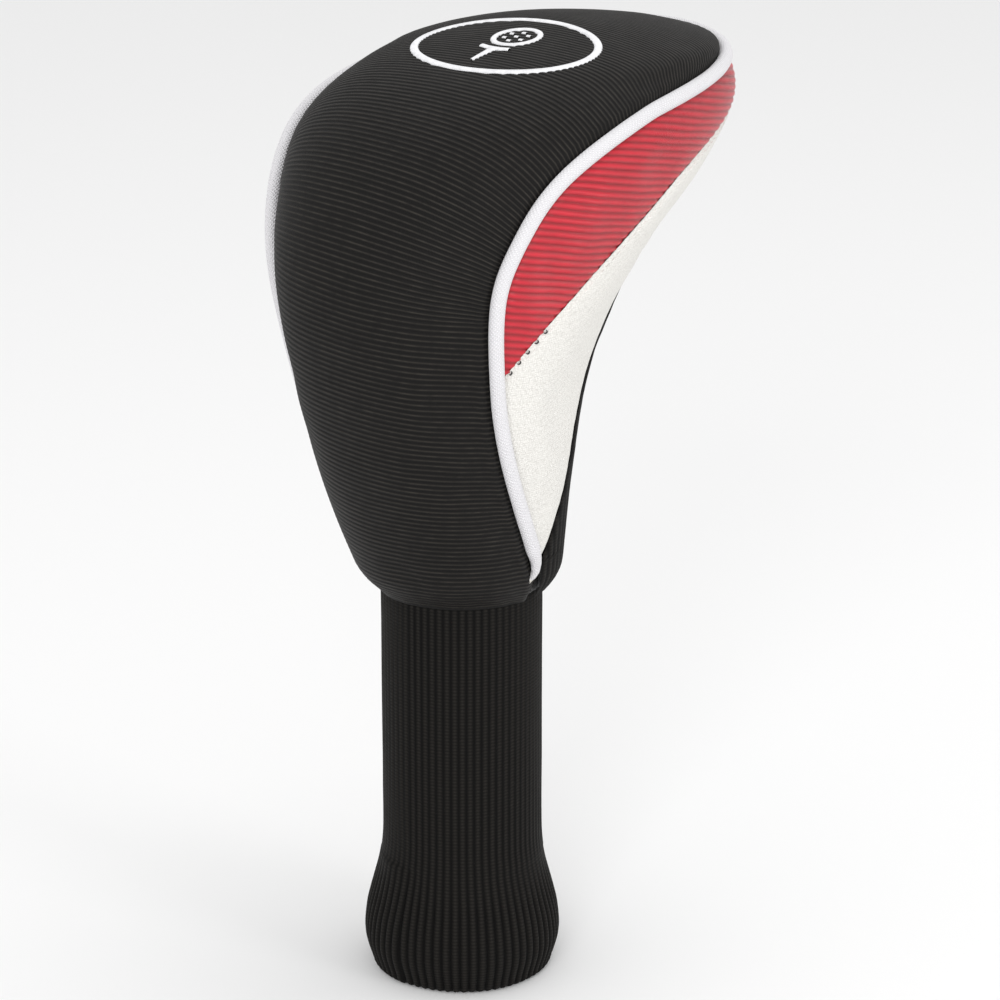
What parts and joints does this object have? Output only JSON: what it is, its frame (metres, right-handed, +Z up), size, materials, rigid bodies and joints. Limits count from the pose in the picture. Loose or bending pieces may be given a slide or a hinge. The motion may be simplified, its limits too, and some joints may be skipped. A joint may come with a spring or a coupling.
{
  "type": "driver head cover",
  "caption": "Padded hood of sewn fabric panels with piping and an embroidered emblem, on a long ribbed knit sock, for a golf driver's head and shaft.",
  "frame": {"origin": "on the sock's axis at the mouth of its cuff, which is also the level it stands on", "axes": "+Z up the sock to the hood, +Y towards the hood's rounded tail, -Y towards its brow, X across it"},
  "size_m": [0.137, 0.1838, 0.3339],
  "materials": {
    "black_ottoman": "fine cross-ribbed polyester weave, low sheen",
    "black_rib_knit": "matt rib knit",
    "red_satin_rib": "glossy satin-faced cross rib",
    "white_pique": "matt pique mesh",
    "piping_tape": "woven bias tape, low sheen",
    "cotton_cord": "twisted cotton cord",
    "stitch_thread": "polyester thread",
    "embroidery": "satin-stitch embroidery",
    "foam": "open-cell foam",
    "fleece": "brushed fleece",
    "elastic": "woven elastic"
  },
  "bodies": {
    "sock": {"neck_sleeve_outer": "black_rib_knit", "neck_sleeve_inner": "black_rib_knit", "sock_outer_knit": "black_rib_knit", "sock_inner_knit": "black_rib_knit", "cuff_hem": "black_rib_knit", "cuff_elastic": "elastic"},
    "hood": {"crown_panel": "black_ottoman", "red_panel_left": "red_satin_rib", "red_panel_right": "red_satin_rib", "white_panel_left": "white_pique", "white_panel_right": "white_pique", "back_gusset": "black_rib_knit", "piping_tape": "piping_tape", "piping_cord": "cotton_cord", "topstitch_left": "stitch_thread", "topstitch_right": "stitch_thread", "emblem_ring": "embroidery", "emblem_ball": "embroidery", "emblem_tee": "embroidery", "foam_crown": "foam", "foam_left": "foam", "foam_right": "foam", "lining_crown": "fleece", "lining_left": "fleece", "lining_right": "fleece", "neck_elastic": "elastic", "neck_binding": "fleece"}
  },
  "joints": [
    {"name": "neck_bend", "type": "hinge", "parent": "sock", "child": "hood", "pos_m": [0, 0, 0.13], "axis": [1, 0, 0], "range_deg": [-35, 35], "deforming": ["neck_sleeve_outer", "neck_sleeve_inner"]}
  ]
}
